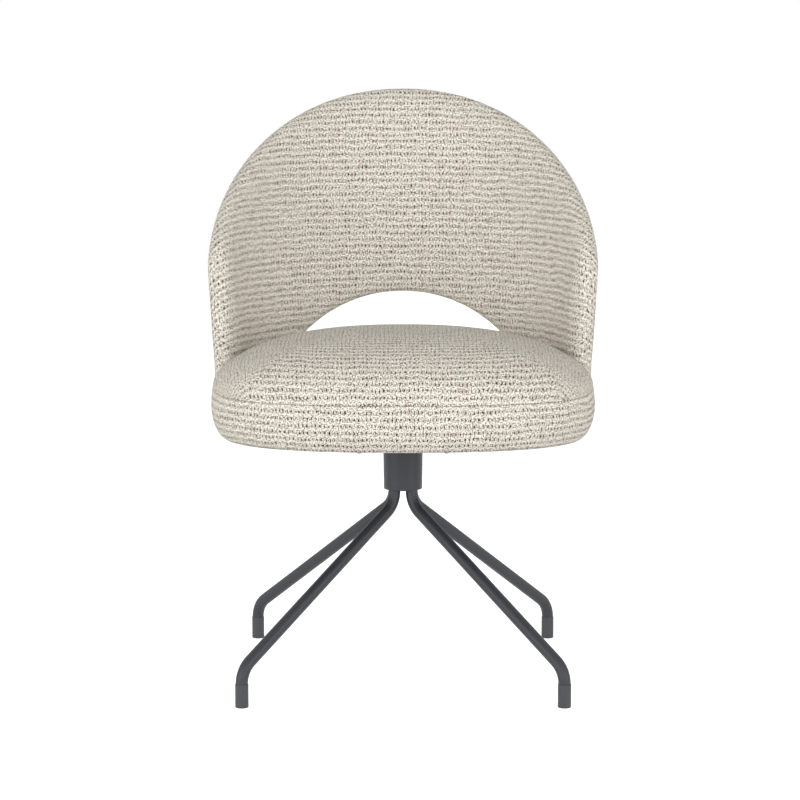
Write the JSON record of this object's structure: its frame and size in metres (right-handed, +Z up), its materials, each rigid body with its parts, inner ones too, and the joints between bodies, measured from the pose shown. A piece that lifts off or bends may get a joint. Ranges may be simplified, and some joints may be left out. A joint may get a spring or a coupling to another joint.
{
  "type": "swivel dining chair",
  "caption": "Upholstered dining chair with a wrap-around arched back over a boxed seat cushion, turning freely on a base of bent steel tube legs.",
  "frame": {"origin": "on the floor, on the swivel axis midway between the feet", "axes": "+Z up, the sitter faces -Y, +X to the right of a viewer who looks at the chair's front"},
  "size_m": [0.5648, 0.567, 0.8481],
  "materials": {
    "powder_coat": "matte dark blue-grey powder coat",
    "foot_plastic": "satin moulded nylon",
    "tweed": "coarse cream and brown basket-weave tweed over foam",
    "lining": "black non-woven lining",
    "plywood": "bare birch plywood",
    "zinc_steel": "bright zinc plate",
    "black_steel": "black oxide",
    "bearing_steel": "ground bearing steel",
    "nylon": "natural nylon"
  },
  "bodies": {
    "base": {"leg_front_left": "powder_coat", "foot_cap_front_left": "foot_plastic", "leg_front_right": "powder_coat", "foot_cap_front_right": "foot_plastic", "leg_rear_left": "powder_coat", "foot_cap_rear_left": "foot_plastic", "leg_rear_right": "powder_coat", "foot_cap_rear_right": "foot_plastic", "hub_disc": "powder_coat", "column_sleeve": "powder_coat", "bearing_housing": "zinc_steel", "spindle_bush": "nylon", "lower_race": "bearing_steel"},
    "bearing": {"ball_cage": "nylon", "bearing_balls": "bearing_steel"},
    "seat": {"upper_race": "bearing_steel", "spindle": "zinc_steel", "tail_washer": "zinc_steel", "retaining_clip": "black_steel", "swivel_plate": "powder_coat", "plate_bolts": "black_steel", "plate_washers": "black_steel", "plate_tee_nuts": "zinc_steel", "seat_doubler": "plywood", "seat_board": "plywood", "dust_cover": "lining", "seat_band": "tweed", "seat_crown": "tweed", "back_board": "plywood", "back_inner_pad": "tweed", "back_rear_panel": "tweed", "wing_block_left": "plywood", "wing_block_right": "plywood", "wing_bolts": "black_steel", "wing_tee_nuts": "zinc_steel", "block_screws": "zinc_steel"}
  },
  "joints": [
    {"name": "seat_swivel", "type": "hinge", "parent": "base", "child": "seat", "pos_m": [0, 0, 0.316], "axis": [0, 0, 1], "continuous": true},
    {"name": "bearing_spin", "type": "hinge", "parent": "base", "child": "bearing", "pos_m": [0, 0, 0.316], "axis": [0, 0, 1], "continuous": true}
  ],
  "couplings": [
    {"joint": "bearing_spin", "follows": "seat_swivel", "ratio": 0.5}
  ]
}
